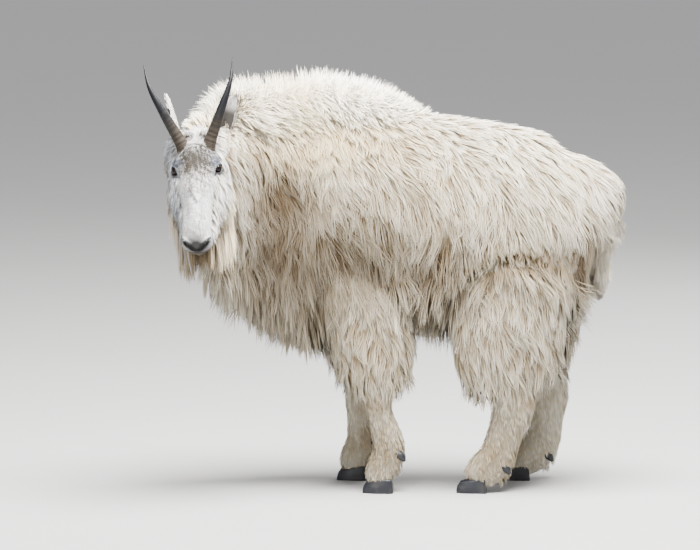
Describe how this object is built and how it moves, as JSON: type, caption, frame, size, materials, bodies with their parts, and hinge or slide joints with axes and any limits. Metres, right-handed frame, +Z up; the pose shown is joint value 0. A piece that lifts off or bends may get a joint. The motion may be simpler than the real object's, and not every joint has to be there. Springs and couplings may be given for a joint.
{
  "type": "mountain goat",
  "caption": "Life-size mountain goat in its long winter coat, standing still on level ground with its head turned to its left",
  "frame": {"origin": "Middle of the model's footprint on the ground: the middle of its bounding box in X and Y, at the level of the hoof soles", "axes": "+Z up. The goat's body faces -X, its left side faces -Y, and its head is turned to its left, towards -Y"},
  "size_m": [1.2182, 0.6278, 1.1031],
  "materials": {
    "coat": "long off-white winter hair, cream to light tan in the shade of the neck and legs",
    "face": "short white hair of the face and ears",
    "horn": "black horn, ringed and greyish near the base, smooth and shiny towards the tip",
    "hoof": "blue-black hoof horn, dusty and worn",
    "eye": "dark brown, wet and glossy"
  },
  "bodies": {
    "root": {"barrel": "coat", "chest": "coat", "ear_left": "face", "ear_right": "face", "eye_left": "eye", "eye_right": "eye", "foreleg_left_claw_inner": "hoof", "foreleg_left_claw_outer": "hoof", "foreleg_left_dewclaw_inner": "hoof", "foreleg_left_dewclaw_outer": "hoof", "foreleg_left_lower": "coat", "foreleg_left_upper": "coat", "foreleg_right_claw_inner": "hoof", "foreleg_right_claw_outer": "hoof", "foreleg_right_dewclaw_inner": "hoof", "foreleg_right_dewclaw_outer": "hoof", "foreleg_right_lower": "coat", "foreleg_right_upper": "coat", "head": "face", "hindleg_left_claw_inner": "hoof", "hindleg_left_claw_outer": "hoof", "hindleg_left_dewclaw_inner": "hoof", "hindleg_left_dewclaw_outer": "hoof", "hindleg_left_lower": "coat", "hindleg_left_upper": "coat", "hindleg_right_claw_inner": "hoof", "hindleg_right_claw_outer": "hoof", "hindleg_right_dewclaw_inner": "hoof", "hindleg_right_dewclaw_outer": "hoof", "hindleg_right_lower": "coat", "hindleg_right_upper": "coat", "horn_left": "horn", "horn_right": "horn", "neck": "coat", "rump": "coat", "tail": "coat"}
  },
  "joints": []
}
